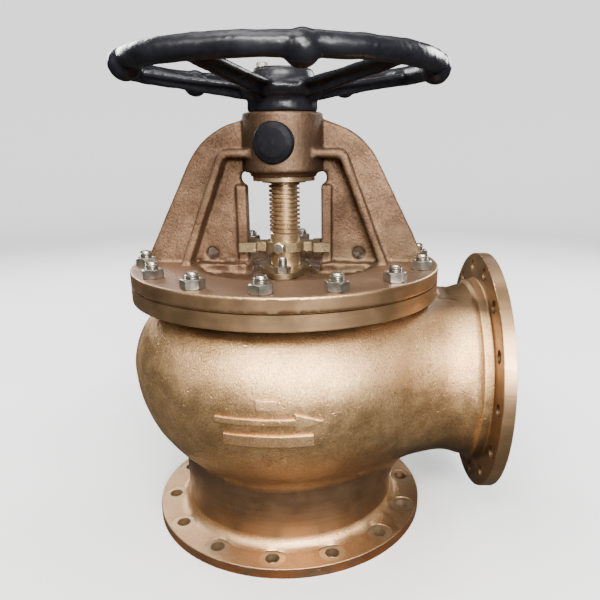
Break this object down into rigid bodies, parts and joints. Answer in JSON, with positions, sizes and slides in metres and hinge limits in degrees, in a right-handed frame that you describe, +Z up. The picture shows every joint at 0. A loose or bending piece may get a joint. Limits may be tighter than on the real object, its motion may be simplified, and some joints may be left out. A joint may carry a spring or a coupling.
{
  "type": "seacock valve",
  "caption": "Angle-pattern flanged seacock in cast bronze: inlet below, outlet at the side, and a handwheel on an open yoke that lifts a rising stem and disc.",
  "frame": {"origin": "centre of the inlet flange's face, which is also the lowest plane", "axes": "+Z up the stem, +X out of the outlet flange"},
  "size_m": [0.474, 0.4082, 0.6023],
  "materials": {
    "cast_bronze_body": "sand cast, satin",
    "cast_bronze_bonnet": "sand cast, dull",
    "machined_bronze": "turned",
    "stem_brass": "turned, bright",
    "gland_brass": "satin",
    "stainless": "satin",
    "wheel_paint": "semi-gloss black paint on iron",
    "plug_rubber": "matte",
    "gasket": "matte",
    "packing": "graphite braid"
  },
  "bodies": {
    "housing": {"valve_body": "cast_bronze_body", "seat_ring": "machined_bronze", "bonnet_gasket": "gasket", "bonnet_yoke": "cast_bronze_bonnet", "bonnet_studs": "stainless", "bonnet_nuts": "stainless", "back_seat_bush": "machined_bronze", "packing_base_ring": "machined_bronze", "packing_rings": "packing", "gland_follower": "gland_brass", "gland_studs": "stainless", "gland_nuts": "stainless", "upper_thrust_washer": "machined_bronze", "lower_thrust_washer": "machined_bronze", "sleeve_retainer": "stem_brass", "retainer_lock_screw": "stainless", "hub_port_plug": "plug_rubber"},
    "wheel": {"yoke_sleeve": "stem_brass", "handwheel": "wheel_paint", "wheel_key": "stainless", "wheel_nut": "wheel_paint", "stem_cover": "wheel_paint", "cover_screw": "stainless", "hub_set_screw": "stainless"},
    "stem": {"stem": "stem_brass", "guide_arm": "stem_brass", "arm_key": "stainless", "arm_set_bolt": "stainless", "split_collar": "machined_bronze"},
    "disc": {"valve_disc": "machined_bronze", "disc_face_ring": "stem_brass", "disc_nut": "machined_bronze", "disc_lock_pin": "stainless"}
  },
  "joints": [
    {"name": "handwheel_turn", "type": "hinge", "parent": "housing", "child": "wheel", "pos_m": [0, 0, 0.516], "axis": [0, 0, 1], "range_deg": [0, 3960]},
    {"name": "stem_lift", "type": "slide", "parent": "housing", "child": "stem", "axis": [0, 0, 1], "range_m": [0, 0.0605]},
    {"name": "disc_swivel", "type": "hinge", "parent": "stem", "child": "disc", "pos_m": [0, 0, 0.16], "axis": [0, 0, 1], "continuous": true}
  ],
  "couplings": [
    {"joint": "stem_lift", "follows": "handwheel_turn", "m_per_rad": 0.00087535}
  ]
}
